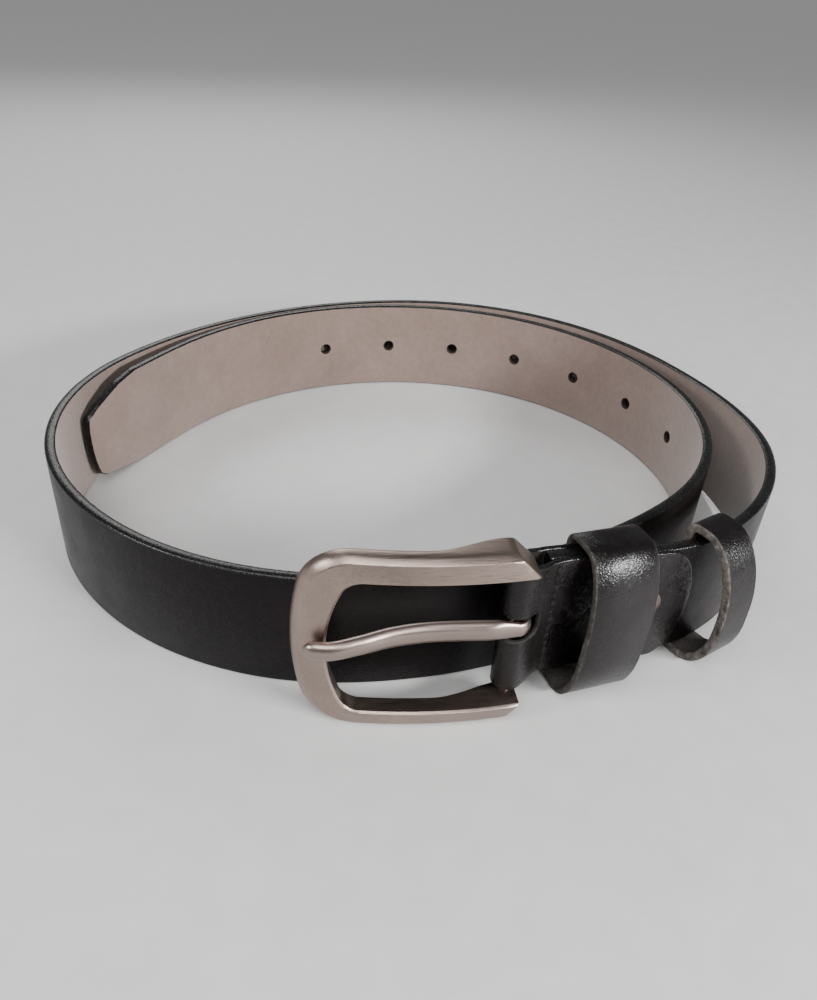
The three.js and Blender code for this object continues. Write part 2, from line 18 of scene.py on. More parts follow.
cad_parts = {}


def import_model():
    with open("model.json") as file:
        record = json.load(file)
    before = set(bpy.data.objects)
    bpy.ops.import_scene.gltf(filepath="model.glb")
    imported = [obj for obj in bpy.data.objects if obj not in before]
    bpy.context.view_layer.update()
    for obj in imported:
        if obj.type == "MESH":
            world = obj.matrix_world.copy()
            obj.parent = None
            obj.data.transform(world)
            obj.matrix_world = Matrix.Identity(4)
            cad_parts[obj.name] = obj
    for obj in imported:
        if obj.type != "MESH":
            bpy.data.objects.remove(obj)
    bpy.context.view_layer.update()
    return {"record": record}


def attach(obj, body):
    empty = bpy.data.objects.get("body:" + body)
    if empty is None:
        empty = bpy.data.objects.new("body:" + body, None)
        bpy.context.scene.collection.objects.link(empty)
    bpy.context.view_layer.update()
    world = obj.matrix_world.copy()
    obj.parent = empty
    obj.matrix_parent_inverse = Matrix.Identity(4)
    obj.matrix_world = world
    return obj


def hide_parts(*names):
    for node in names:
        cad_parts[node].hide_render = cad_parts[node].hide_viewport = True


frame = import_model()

MM = 0.001
PER_METRE = 1000

# ------------------------------------------------------------------ the belt's own measures, mm

STRAP_WIDTH = 38.0
STRAP_THICKNESS = 3.4
STRAP_LENGTH = 1150.0
STRAP_START = 7.0
STRAP_EDGE_DEPTH = 0.85
HOLE_COUNT = 7
HOLE_PITCH = 30.0
HOLE_RADIUS = 2.0
HOLE_RIM = 0.45
FIRST_HOLE_FROM_TIP = 126.0
TIP_LENGTH = 25.0
# Corners (along, up) of the tip, with along measured from its end.
TIP = [
    (-40, 0), (-TIP_LENGTH, 0), (-12, 2), (-3, 4), (-1, 9.5),
    (0, 17.5), (0, 26.5), (-2, 30), (-23, STRAP_WIDTH), (-40, STRAP_WIDTH),
]

# The way the strap lies: bends as (length, degrees), and lifts off the table as (height, start,
# length). The strap stands that much higher up to the start, and comes down over the length.
START_X = 0.5
START_Y = 3.25
START_HEADING = math.radians(13.5)
STRAIGHT_LENGTH = 45.0
BEND_BLEND = 10.0
BENDS = [
    (100, 72),
    (90, 43),
    (100, 55),
    (130, 51),
    (90, 64),
    (100, 59),
    (110, 40),
    (90, 64),
    (100, 59),
    (145, 74),
    (50, 6),
]
LIFTS = [(7.1, 0.0, 62.0), (3.2, 110.0, 90.0)]
ROUTE_STEP = 0.5
ROUTE_BEFORE_BAR = 10.0

CHAPE_THICKNESS = 1.6
CHAPE_GAP = 0.12
CHAPE_SURFACE = STRAP_THICKNESS / 2 + CHAPE_GAP + CHAPE_THICKNESS
FRONT_FLAP_END = 55.4
FRONT_FLAP_ROUNDING = 11.0
BACK_FLAP_END = 50.0
BACK_FLAP_ROUNDING = 9.0
FLAPS_MEET_STRAP = 12.0
FOLD_RADIUS = 4.2
FOLD_ALONG = -1.3
FOLD_OUT = 3.0
FOLD_FLARE = 0.075
FOLD_FLARE_LENGTH = 6.0
SLOT_HEIGHT = 7.0
SLOT_END = 4.4
SLOT_CORNER = 2.4
SLOT_BELOW_PRONG = 0.3

STITCH_ALONG = 8.2
STITCH_PITCH = 2.8
STITCH_COUNT = 13
STITCH_HEIGHTS = [STRAP_WIDTH / 2 + (i - (STITCH_COUNT - 1) / 2) * STITCH_PITCH for i in range(STITCH_COUNT)]
THREAD_RADIUS = 0.38
THREAD_TWIST = 0.55
STUD_ALONG = 40.0
STUD_HEIGHT = 21.0
STUD_HOLE_RADIUS = 1.7

FRAME_HEIGHT = 56.4
FRAME_CORNER = 14.0
FRAME_SIDE_RADIUS = 80.0
WINDOW_HEIGHT = 42.8
WINDOW_CORNER = 6.0
WINDOW_SIDE_RADIUS = 45.0
BOW_REACH = 57.8
BOW_FACE = 8.8
FRAME_FRONT = -7.3
FRAME_SLOPE = 1.3
FRAME_DEPTH = 4.8
FRAME_DEPTH_AT_BAR = 8.8
FRAME_CURVE_RADIUS = 150.0
FRAME_CURVE_MIDDLE = -17.0
ARM_END_INNER = 2.8
UPPER_ARM_END_OUTER = -3.8
LOWER_ARM_END_OUTER = -0.6
ARM_GROWTH_LENGTH = 20.0
ARM_END_ROUNDING = 0.5
NOTCH_RADIUS = 3.4
NOTCH_DEPTH = 0.5
NOTCH_BELOW_PRONG = 0.9
BAR_RADIUS = 1.5
BAR_INTO_ARM = 0.7
BAR_CHAMFER = 0.3

PRONG_ABOVE_MIDDLE = 1.1
PRONG_WIDTH = 6.1
PRONG_THICKNESS = 4.0
PRONG_TIP_ROUNDING = 3.2
PRONG_TIP_DROP = 0.45
PRONG_TIP_NARROWER = 0.7
EYE_THICKNESS = 2.2
EYE_GAP = 0.4
EYE_NARROWER = 1.7
EYE_LOWER = 0.6

# A keeper's hoop reaches from start to end along the strap. out, back, low and high bound its
# outer face, pitch tips it in degrees, and each of its corners has two radii.
FIXED_KEEPER = dict(
    node="fixed_keeper", body="strap", seed=3,
    start=13.8, end=33.4, out=12.9, back=5.9, low=0.7, high=49.9, thickness=1.8, pitch=2.6,
    back_high=(4, 4), front_high=(9.6, 22), front_low=(9, 17), back_low=(4, 4),
)
LOOSE_KEEPER = dict(
    node="loose_keeper", body="loose_keeper", seed=4,
    start=56.4, end=68.2, out=14.7, back=5.2, low=0.2, high=45.3, thickness=2.6, pitch=0.0,
    back_high=(4, 4), front_high=(13, 24), front_low=(11, 17), back_low=(4, 4),
)
BUTT_GAP = 0.3
BUTT_STRAIGHT = 4.0
STAPLE_REACH = 3.0
STAPLE_PROUD = 0.42
STAPLE_BEND = 0.5
STAPLE_WIRE = (0.34, 0.45)

JOINTS = {joint["name"]: joint for joint in frame["record"]["behaviour"]["joints"]}
BAR_X, BAR_Y = JOINTS["buckle_hinge"]["pos_m"][:2]


def world(x, y, z):
    """A point measured in mm from the foot of the buckle bar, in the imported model's frame."""
    return Vector((BAR_X + x * MM, BAR_Y + y * MM, z * MM))


# ------------------------------------------------------------------ the way the strap lies


def smooth_step(value):
    t = min(max(value, 0.0), 1.0)
    return t * t * (3 - 2 * t)


def lift(along):
    return sum(h * (1 - smooth_step((along - start) / length)) for h, start, length in LIFTS)


def ramp_integral(distance, length):
    if distance <= 0:
        return 0.0
    return distance * distance / (2 * length) if distance < length else distance - length / 2


def heading_at(along):
    """Direction of the strap. Each bend sets in over a length of two blends, not at once."""
    heading = START_HEADING
    start = STRAIGHT_LENGTH
    for length, turn in BENDS:
        ahead = ramp_integral(along + BEND_BLEND - start, length)
        behind = ramp_integral(along - BEND_BLEND - start, length)
        heading += math.radians(turn) * (ahead - behind) / (2 * BEND_BLEND)
        start += length
    return heading


def make_route():
    """The strap's middle line as points (x, y) at every route step."""
    x = START_X - ROUTE_BEFORE_BAR * math.cos(START_HEADING)
    y = START_Y - ROUTE_BEFORE_BAR * math.sin(START_HEADING)
    route = []
    along = -ROUTE_BEFORE_BAR
    while along <= STRAP_LENGTH + ROUTE_STEP:
        route.append((x, y))
        heading = heading_at(along + ROUTE_STEP / 2)
        x += ROUTE_STEP * math.cos(heading)
        y += ROUTE_STEP * math.sin(heading)
        along += ROUTE_STEP
    return route


ROUTE = make_route()


def place(along, out, up):
    """The point of the model at these distances of the strap's own."""
    position = (along + ROUTE_BEFORE_BAR) / ROUTE_STEP
    before = min(max(int(position), 0), len(ROUTE) - 2)
    share = position - before
    x, y = (a * (1 - share) + c * share for a, c in zip(ROUTE[before], ROUTE[before + 1]))
    heading = heading_at(along)
    return world(x + out * math.sin(heading), y - out * math.cos(heading), up + lift(along))


# ------------------------------------------------------------------ outlines and curves, mm


def arc(cx, cy, rx, ry, first, last, count):
    """Points of an ellipse about (cx, cy), from the first angle to the last in degrees."""
    angles = [math.radians(first + (last - first) * i / count) for i in range(count + 1)]
    return [(cx + rx * math.cos(angle), cy + ry * math.sin(angle)) for angle in angles]


def circle(sides):
    """Cosine and sine of each of the angles that part a circle evenly."""
    angles = [2 * math.pi * k / sides for k in range(sides)]
    return [(math.cos(angle), math.sin(angle)) for angle in angles]


def cut_corners(points):
    """An open run of points with each of its corners cut off a quarter of the way along."""
    cut = [points[0]]
    for a, c in zip(points, points[1:]):
        cut.append((a[0] * 0.75 + c[0] * 0.25, a[1] * 0.75 + c[1] * 0.25))
        cut.append((a[0] * 0.25 + c[0] * 0.75, a[1] * 0.25 + c[1] * 0.75))
    return [*cut, points[-1]]


def subdivided(outline, count):
    """The closed outline with each of its sides divided into count."""
    result = []
    for i, (x, y) in enumerate(outline):
        nx, ny = outline[(i + 1) % len(outline)]
        result += [(x + (nx - x) * k / count, y + (ny - y) * k / count) for k in range(count)]
    return result


def outward(ring, i):
    """Unit normal of a flat anticlockwise outline at its point i."""
    before, after = ring[i - 1], ring[(i + 1) % len(ring)]
    dx, dy = after[0] - before[0], after[1] - before[1]
    size = math.hypot(dx, dy) or 1.0
    return dy / size, -dx / size


def steps(first, last, size):
    count = max(1, round(abs(last - first) / size))
    return [first + (last - first) * i / count for i in range(count + 1)]


def catmull(a, p, q, d, k, t):
    """The point at knot value t on the stretch from p to q, with the knots k of all four."""
    def blend(u, v, low, high):
        share = (t - low) / (high - low)
        return tuple(m * (1 - share) + n * share for m, n in zip(u, v))

    first = blend(a, p, k[0], k[1])
    second = blend(p, q, k[1], k[2])
    third = blend(q, d, k[2], k[3])
    return blend(blend(first, second, k[0], k[2]), blend(second, third, k[1], k[3]), k[1], k[2])


class Curve:
    """A smooth flat curve through points, with places on it given by the distance along it."""

    STEP = 1 / 12
    NORMAL_REACH = 0.3

    def __init__(self, points):
        fine = []
        ends = [points[0], *points, points[-1]]
        for a, p, q, d in zip(ends, ends[1:], ends[2:], ends[3:]):
            knots = [0.0]
            for u, v in ((a, p), (p, q), (q, d)):
                knots.append(knots[-1] + max(math.dist(u, v), 1e-6) ** 0.5)
            count = max(2, int(math.dist(p, q) / self.STEP))
            for i in range(count):
                fine.append(catmull(a, p, q, d, knots, knots[1] + (knots[2] - knots[1]) * i / count))
        fine.append(points[-1])
        self.rows = [(0.0, *fine[0])]
        for point in fine[1:]:
            length = self.rows[-1][0] + math.dist(self.rows[-1][1:], point)
            if length > self.rows[-1][0]:
                self.rows.append((length, *point))
        self.length = self.rows[-1][0]

    def at(self, distance):
        d = min(max(distance, 0.0), self.length)
        after = min(bisect_right(self.rows, d, key=lambda row: row[0]), len(self.rows) - 1)
        (start, *before_point), (end, *after_point) = self.rows[after - 1], self.rows[after]
        share = (d - start) / (end - start)
        return tuple(a * (1 - share) + c * share for a, c in zip(before_point, after_point))

    def frame(self, distance):
        """The point there and the curve's left-hand normal, as x, y, normal x, normal y."""
        ax, ay = self.at(distance - self.NORMAL_REACH)
        bx, by = self.at(distance + self.NORMAL_REACH)
        size = math.hypot(bx - ax, by - ay)
        return *self.at(distance), -(by - ay) / size, (bx - ax) / size


# ------------------------------------------------------------------ materials


class Nodes:
    """Short calls for building one material's node tree. Sizes and depths are in metres."""

    def __init__(self, name, **fixed):
        self.material = bpy.data.materials.new(name)
        self.material.use_nodes = True
        self.tree = self.material.node_tree
        self.shader = self.tree.nodes["Principled BSDF"]
        for socket, value in fixed.items():
            self.shader.inputs[socket.replace("_", " ")].default_value = value
        self.object_space = self.tree.nodes.new("ShaderNodeTexCoord").outputs["Object"]

    def add(self, kind, inputs=(), **settings):
        node = self.tree.nodes.new(kind)
        for key, value in settings.items():
            setattr(node, key, value)
        for key, value in dict(inputs).items():
            if isinstance(value, bpy.types.NodeSocket):
                self.tree.links.new(value, node.inputs[key])
            else:
                node.inputs[key].default_value = value
        return node

    def stretched(self, scale):
        inputs = {"Vector": self.object_space, "Scale": scale}
        return self.add("ShaderNodeMapping", inputs).outputs["Vector"]

    def noise(self, size, detail, rough=0.5, vector=None):
        where = vector or self.object_space
        inputs = {"Vector": where, "Scale": 1 / size, "Detail": detail, "Roughness": rough}
        return self.add("ShaderNodeTexNoise", inputs).outputs["Fac"]

    def cells(self, size):
        """0 on the borders of irregular cells, rising towards the middle of each."""
        inputs = {"Vector": self.object_space, "Scale": 1 / size}
        return self.add("ShaderNodeTexVoronoi", inputs, feature="DISTANCE_TO_EDGE").outputs["Distance"]

    def spread(self, value, low, high, to_low=0.0, to_high=1.0):
        inputs = {"Value": value, "From Min": low, "From Max": high, "To Min": to_low, "To Max": to_high}
        return self.add("ShaderNodeMapRange", inputs).outputs["Result"]

    def calc(self, operation, first, second):
        return self.add("ShaderNodeMath", {0: first, 1: second}, operation=operation).outputs[0]

    def times(self, first, second):
        return self.calc("MULTIPLY", first, second)

    def plus(self, first, second, amount):
        """The first value with an amount of the second added to it."""
        return self.calc("ADD", first, self.times(second, amount))

    def colours(self, value, *stops):
        node = self.add("ShaderNodeValToRGB", {"Fac": value})
        elements = node.color_ramp.elements
        while len(elements) < len(stops):
            elements.new(0.5)
        for element, (position, colour) in zip(elements, stops):
            element.position = position
            element.color = (*colour, 1)
        return node.outputs["Color"]

    def mix(self, factor, first, second):
        """A mix of two colours. The node's colour sockets share their names, so they go by number."""
        inputs = {0: factor, 6: first, 7: second}
        return self.add("ShaderNodeMix", inputs, data_type="RGBA").outputs[2]

    def bump(self, height, distance, strength, below=None):
        inputs = {"Height": height, "Distance": distance, "Strength": strength}
        if below is not None:
            inputs["Normal"] = below
        return self.add("ShaderNodeBump", inputs).outputs["Normal"]

    def near_border(self, low, high, reach):
        """1 on the long edges of a piece that was cut out flat, falling to 0 within reach."""
        flat = self.add("ShaderNodeUVMap", uv_map="flat").outputs["UV"]
        across = self.add("ShaderNodeSeparateXYZ", {"Vector": flat}).outputs["Y"]
        from_low = self.calc("SUBTRACT", across, low)
        from_high = self.calc("SUBTRACT", high, across)
        return self.spread(self.calc("MINIMUM", from_low, from_high), 0.0, reach, 1.0, 0.0)

    def finish(self, colour, roughness, normal=None):
        for socket, value in (("Base Color", colour), ("Roughness", roughness), ("Normal", normal)):
            if value is not None:
                self.tree.links.new(value, self.shader.inputs[socket])
        return self.material


PEBBLE_SIZE = 0.0008
BLACK_SHADES = ((0.15, (0.0018, 0.0012, 0.0012)), (0.7, (0.006, 0.0044, 0.0043)))
WORN_SHADE = (0.018, 0.015, 0.014, 1)
WORN_WIDTH = 0.0014
FLESH_SHADES = ((0.3, (0.157, 0.108, 0.088)), (0.5, (0.187, 0.131, 0.108)), (0.68, (0.216, 0.156, 0.131)))
FIBRE_SHADE = (0.137, 0.094, 0.076, 1)


def leather(name, gloss, depth, shine, border):
    """Finished black leather: flat pebbles between creases, over slower swells.

    gloss is the roughness range, depth that of the creases, and shine the specular level. border
    is where the piece's two long edges lie, and there it is worn dull.
    """
    n = Nodes(name, Specular_IOR_Level=shine)
    plateau = n.spread(n.cells(PEBBLE_SIZE), 0.0, 0.26)
    drift = n.noise(2.5 * PEBBLE_SIZE, 2)
    fine = n.noise(0.4 * PEBBLE_SIZE, 2)
    height = n.plus(n.times(plateau, drift), fine, 0.3)
    swells = n.bump(n.noise(0.007, 3), 0.0002, 0.3)
    wear = n.times(n.near_border(*border, WORN_WIDTH), n.noise(0.003, 4, 0.65))
    black = n.colours(height, *BLACK_SHADES)
    colour = n.mix(n.spread(wear, 0.2, 0.6, 0.0, 0.6), black, WORN_SHADE)
    cloud = n.plus(n.times(n.noise(0.012, 4, 0.6), 0.8), fine, 0.2)
    roughness = n.plus(n.spread(cloud, 0.35, 0.65, *gloss), wear, 0.25)
    return n.finish(colour, roughness, n.bump(height, depth, 1.0, below=swells))


def make_flesh_side():
    n = Nodes("flesh_side", Specular_IOR_Level=0.25, Sheen_Weight=0.35, Sheen_Roughness=0.6)
    fibres = n.noise(0.0007, 4, 0.65, n.stretched((1, 1, 0.45)))
    mottle = n.noise(0.02, 4, 0.55)
    nap = n.noise(0.0025, 4, 0.6)
    pale = n.colours(n.plus(n.times(mottle, 0.6), nap, 0.4), *FLESH_SHADES)
    colour = n.mix(n.spread(fibres, 0.35, 0.75, 0.0, 0.3), pale, FIBRE_SHADE)
    normal = n.bump(fibres, 0.00018, 0.8, below=n.bump(nap, 0.0003, 0.5))
    return n.finish(colour, n.spread(fibres, 0.3, 0.7, 0.82, 0.98), normal)


def speckled(name, speckle, stops, gloss, relief, patches=None, **fixed):
    """A material with one fine noise in its colour, its roughness and its relief.

    speckle is that noise's size, detail and roughness, stops are the colours across it, gloss the
    range of the surface's roughness, and relief its depth and strength. patches is a second,
    slower noise that breaks up the colour.
    """
    n = Nodes(name, **fixed)
    fine = n.noise(*speckle)
    tone = n.times(fine, n.noise(*patches)) if patches else fine
    return n.finish(n.colours(tone, *stops), n.spread(fine, 0.3, 0.7, *gloss), n.bump(fine, *relief))


def dimmed(stops, share):
    return [(at, tuple(c * share for c in colour)) for at, colour in stops]


def make_edge_paint():
    return speckled(
        "edge_paint", (0.0006, 4, 0.6), ((0.2, (0.0022, 0.0017, 0.0016)), (0.45, (0.009, 0.012, 0.011))),
        gloss=(0.18, 0.32), relief=(0.00013, 0.9), patches=(0.008, 4, 0.65), Specular_IOR_Level=0.38,
    )


def make_raw_edge(name, share):
    """A cut edge, only partly dyed, with the hide's fibres showing. share is how pale it is."""
    stops = ((0.14, (0.02, 0.0175, 0.0165)), (0.3, (0.13, 0.113, 0.1)), (0.46, (0.31, 0.275, 0.25)))
    return speckled(
        name, (0.0004, 4, 0.7), dimmed(stops, share),
        gloss=(0.6, 0.85), relief=(0.0002, 0.9), patches=(0.0022, 3, 0.6), Specular_IOR_Level=0.3,
    )


def make_lining(name, share):
    """The unfinished inside of a keeper or of the chape. share is how pale it is; below 1 it darkens the
    leather with painted shade.
    """
    stops = ((0.3, (0.02, 0.018, 0.017)), (0.7, (0.075, 0.066, 0.06)))
    return speckled(
        name, (0.0006, 4, 0.65), dimmed(stops, share),
        gloss=(0.75, 0.95), relief=(0.0002, 0.8), Specular_IOR_Level=0.2,
    )


def make_hole_wall():
    return speckled(
        "punched_wall", (0.0005, 3, 0.6), ((0.3, (0.008, 0.007, 0.006)), (0.75, (0.045, 0.037, 0.032))),
        gloss=(0.8, 0.95), relief=(0.0002, 0.7), Specular_IOR_Level=0.2,
    )


def make_thread():
    return speckled(
        "waxed_thread", (0.00022, 3, 0.6), ((0.3, (0.002, 0.002, 0.002)), (0.7, (0.008, 0.0075, 0.0075))),
        gloss=(0.35, 0.6), relief=(0.00008, 0.8), Specular_IOR_Level=0.12,
    )


def make_bright():
    return speckled(
        "bright_nickel", (0.0015, 4, 0.6), ((0.3, (0.56, 0.54, 0.52)), (0.7, (0.72, 0.7, 0.68))),
        gloss=(0.16, 0.3), relief=(0.00004, 0.4), Metallic=1.0,
    )


def make_satin(name, base, gloss, relief, contrast):
    """Satin nickel, brushed by fine lines that run along X. contrast is how much the lines show."""
    n = Nodes(name, Metallic=1.0, Anisotropic=0.4)
    lines = n.noise(0.0036, 4, 0.65, n.stretched((0.3, 18, 18)))
    tone = n.plus(n.times(lines, 0.65), n.noise(0.012, 3), 0.35)
    deep = tuple(c * (1 - contrast) for c in base)
    pale = tuple(c * (1 + 0.8 * contrast) for c in base)
    colour = n.colours(tone, (0.34, deep), (0.66, pale))
    return n.finish(colour, n.spread(lines, 0.32, 0.7, *gloss), n.bump(lines, relief, 0.7))


def half_width(keeper):
    return (keeper["end"] - keeper["start"]) / 2


def keeper_leather(keeper, gloss, depth, shine):
    reach = half_width(keeper) * MM
    return leather(f"{keeper['node']}_pebble", gloss, depth, shine, (-reach, reach))


STRAP_BORDER = (0.0, STRAP_WIDTH * MM)
GRAIN = leather("strap_grain", gloss=(0.28, 0.4), depth=0.00007, shine=0.16, border=STRAP_BORDER)
PEBBLE = leather("chape_pebble", gloss=(0.23, 0.35), depth=0.0001, shine=0.28, border=STRAP_BORDER)
FIXED_PEBBLE = keeper_leather(FIXED_KEEPER, gloss=(0.23, 0.32), depth=0.00006, shine=0.33)
LOOSE_PEBBLE = keeper_leather(LOOSE_KEEPER, gloss=(0.27, 0.38), depth=0.00008, shine=0.34)
FLESH = make_flesh_side()
EDGE = make_edge_paint()
RAW_EDGE = make_raw_edge("raw_edge", 1.0)
DYED_EDGE = make_raw_edge("dyed_edge", 0.36)
SLOT_EDGE = make_raw_edge("slot_edge", 0.14)
LINING = make_lining("keeper_lining", 1.0)
# The chape's inside lies in the hollow against the strap. Its share of 0.25 paints that hollow's shade over
# the lining's own colour.
CHAPE_LINING_PAINTED_SHADE = make_lining("chape_lining_painted_shade", 0.25)
HOLE_WALL = make_hole_wall()
BRUSHED = make_satin("satin_nickel", (0.31, 0.243, 0.212), (0.26, 0.38), 0.00006, 0.24)
SATIN_PRONG = make_satin("satin_nickel_prong", (0.3, 0.24, 0.214), (0.3, 0.36), 0.00001, 0.06)
BRIGHT = make_bright()
THREAD = make_thread()


# ------------------------------------------------------------------ mesh building


def to_object(name, mesh_data, materials, sharp_angle=35):
    mesh_data.normal_update()
    mesh = bpy.data.meshes.new(name)
    mesh_data.to_mesh(mesh)
    mesh_data.free()
    for material in materials:
        mesh.materials.append(material)
    for polygon in mesh.polygons:
        polygon.use_smooth = True
    mesh.set_sharp_from_angle(angle=math.radians(sharp_angle))
    piece = bpy.data.objects.new(name, mesh)
    bpy.context.scene.collection.objects.link(piece)
    return piece


def keep_piece(piece, body, node):
    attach(piece, body)
    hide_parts(node)


def bridge(rings, caps=(0, 0), bands=None):
    """A closed skin over rings of points. caps and bands give the material index of each part."""
    b = bmesh.new()
    rows = [[b.verts.new(point) for point in ring] for ring in rings]
    size = len(rows[0])
    for row, (lower, upper) in enumerate(zip(rows, rows[1:])):
        for i in range(size):
            j = (i + 1) % size
            face = b.faces.new((lower[i], lower[j], upper[j], upper[i]))
            face.material_index = bands[row] if bands else 0
    for index, ring in zip(caps, (rows[0][::-1], rows[-1])):
        b.faces.new(ring).material_index = index
    bmesh.ops.recalc_face_normals(b, faces=b.faces)
    return b


def lathe(profile, sides, mapping):
    """A skin turned from (radius, height) rows, with each of its points put in place by mapping."""
    return bridge([[mapping(r * c, r * s, height) for c, s in circle(sides)] for r, height in profile])


def flat_plate(outline, thickness, edge, unpainted=0):
    """A flat plate in mm. edge lists its edge's (inset, height), with the faces at -1 and 1.

    Faces get index 0 on top, 1 below and 2 around the edge, of which the lowest bands may be
    left unpainted and look as the lower face does.
    """
    normals = [outward(outline, i) for i in range(len(outline))]
    rings = []
    for inset, height in edge:
        z = height * thickness / 2
        rings.append([(x - nx * inset, y - ny * inset, z) for (x, y), (nx, ny) in zip(outline, normals)])
    bands = [1 if band < unpainted else 2 for band in range(len(edge) - 1)]
    return bridge(rings, caps=(1, 0), bands=bands)


STRAP_EDGE = [
    (STRAP_EDGE_DEPTH * (1 - math.cos(math.radians(angle))), math.sin(math.radians(angle)))
    for angle in (-90, -72, -56, -42, -28, -14, 0, 14, 28, 42, 56, 72, 90)
]
ROUND_EDGE = [
    (0.42, -1), (0.2, -0.86), (0.05, -0.6), (0, -0.25), (0, 0.25), (0.05, 0.6), (0.2, 0.86), (0.42, 1),
]
FLARED_EDGE = [(-0.42, 1.1), (-0.0875, 0.62), (0, 0.3), (0, -0.3), (-0.0875, -0.62), (-0.42, -1.1)]


def spindle(x, y, radius, half, flare, sides=24):
    """A drill for a plate: a cylinder whose ends flare, so that a hole gets a pressed rim.

    half is half the plate's thickness, and flare how much wider the hole is at its faces.
    """
    upper = [(0.0, half - 0.6), (0.35, half - 0.22), (1.15, half + 0.05), (1.15, half + 1)]
    levels = [(share, -height) for share, height in reversed(upper)] + upper
    profile = [(radius + flare * share, height) for share, height in levels]
    return lathe(profile, sides, lambda dx, dy, height: (x + dx, y + dy, height))


def subtract(b, cutters, index):
    """The bmesh with the cutters taken away; the new walls get the given material index."""
    tools = bmesh.new()
    for cutter in cutters:
        shape = bpy.data.meshes.new("cutter")
        cutter.to_mesh(shape)
        cutter.free()
        tools.from_mesh(shape)
        bpy.data.meshes.remove(shape)
    for face in tools.faces:
        face.material_index = index
    holders = []
    for name, mesh_data in (("cut_target", b), ("cut_tools", tools)):
        mesh = bpy.data.meshes.new(name)
        mesh_data.to_mesh(mesh)
        mesh_data.free()
        for _ in range(index + 1):
            mesh.materials.append(None)
        holder = bpy.data.objects.new(name, mesh)
        bpy.context.scene.collection.objects.link(holder)
        holders.append(holder)
    modifier = holders[0].modifiers.new("cut", "BOOLEAN")
    modifier.operation = "DIFFERENCE"
    modifier.solver = "EXACT"
    modifier.object = holders[1]
    modifier.material_mode = "INDEX"
    evaluated = holders[0].evaluated_get(bpy.context.evaluated_depsgraph_get())
    result = bmesh.new()
    result.from_mesh(evaluated.to_mesh())
    evaluated.to_mesh_clear()
    for holder in holders:
        mesh = holder.data
        bpy.data.objects.remove(holder)
        bpy.data.meshes.remove(mesh)
    return result


def slice_along(b, stations):
    """Adds an edge across the flat piece at each station, so that it can bend there."""
    for x in stations:
        parts = b.verts[:] + b.edges[:] + b.faces[:]
        bmesh.ops.bisect_plane(b, geom=parts, dist=1e-5, plane_co=(x, 0, 0), plane_no=(1, 0, 0))


def bend(b, mapping):
    """Moves each flat point (x, y, t) to where mapping puts it. The flat place is kept as UV."""
    uv = b.loops.layers.uv.new("flat")
    for face in b.faces:
        for loop in face.loops:
            loop[uv].uv = (loop.vert.co.x * MM, loop.vert.co.y * MM)
    for vert in b.verts:
        vert.co = mapping(*vert.co)
    bmesh.ops.recalc_face_normals(b, faces=b.faces)


# ------------------------------------------------------------------ strap


def make_strap():
    half = STRAP_THICKNESS / 2
    tip = cut_corners([(STRAP_LENGTH + x, y) for x, y in TIP])
    outline = [(STRAP_START, 0), *tip, (STRAP_START, STRAP_WIDTH)]
    b = flat_plate(outline, STRAP_THICKNESS, STRAP_EDGE, unpainted=1)
    drills = [spindle(STITCH_ALONG, up, 0.45, half, flare=0.2, sides=12) for up in STITCH_HEIGHTS]
    drills.append(spindle(STUD_ALONG, STUD_HEIGHT, STUD_HOLE_RADIUS, half, flare=0.0))
    for i in range(HOLE_COUNT):
        x = STRAP_LENGTH - FIRST_HOLE_FROM_TIP - i * HOLE_PITCH
        drills.append(spindle(x, STRAP_WIDTH / 2, HOLE_RADIUS, half, flare=HOLE_RIM, sides=32))
    b = subtract(b, drills, 3)
    tip_start = STRAP_LENGTH - TIP_LENGTH
    slice_along(b, steps(STRAP_START + 2, tip_start - 1, 2.5))
    slice_along(b, steps(tip_start + 1, STRAP_LENGTH - 1, 2))
    bend(b, lambda x, y, t: place(x, t, y))
    piece = to_object("strap_body", b, [GRAIN, FLESH, EDGE, HOLE_WALL])
    keep_piece(piece, "strap", "strap")


# ------------------------------------------------------------------ chape


def chape_line():
    """Points (along, out) of the chape's middle line, from the back flap's end to the front's."""
    flap = STRAP_THICKNESS / 2 + CHAPE_GAP + CHAPE_THICKNESS / 2
    radius = FOLD_RADIUS - CHAPE_THICKNESS / 2
    line = [(along, -flap) for along in (BACK_FLAP_END, 30, 18, FLAPS_MEET_STRAP, 7)]
    line += [(3.4, -2.1), *arc(FOLD_ALONG, FOLD_OUT, radius, radius, -75, -285, 12)]
    line += [(2.2, 5.3), (5, 3.9), (8, 3.0)]
    return line + [(along, flap) for along in (FLAPS_MEET_STRAP, 18, 30, 42, FRONT_FLAP_END)]


def nearest_distance(curve, along, front):
    """Where the curve passes a place along the strap, on its front or its back flap."""
    rows = curve.rows[::-1] if front else curve.rows
    return min(rows[: len(rows) // 2], key=lambda row: abs(row[1] - along))[0]


def both_distances(curve, along):
    return nearest_distance(curve, along, False), nearest_distance(curve, along, True)


def slot_cutter(curve):
    """The slot round the fold that the prong comes out of."""
    start, end = both_distances(curve, SLOT_END)
    middle = STRAP_WIDTH / 2 + PRONG_ABOVE_MIDDLE - SLOT_BELOW_PRONG
    left, right = start + SLOT_CORNER, end - SLOT_CORNER
    low = middle - SLOT_HEIGHT / 2 + SLOT_CORNER
    high = middle + SLOT_HEIGHT / 2 - SLOT_CORNER
    outline = []
    for x, y, first in ((right, low, -90), (right, high, 0), (left, high, 90), (left, low, 180)):
        outline += arc(x, y, SLOT_CORNER, SLOT_CORNER, first, first + 90, 6)
    return flat_plate(outline, CHAPE_THICKNESS, FLARED_EDGE)


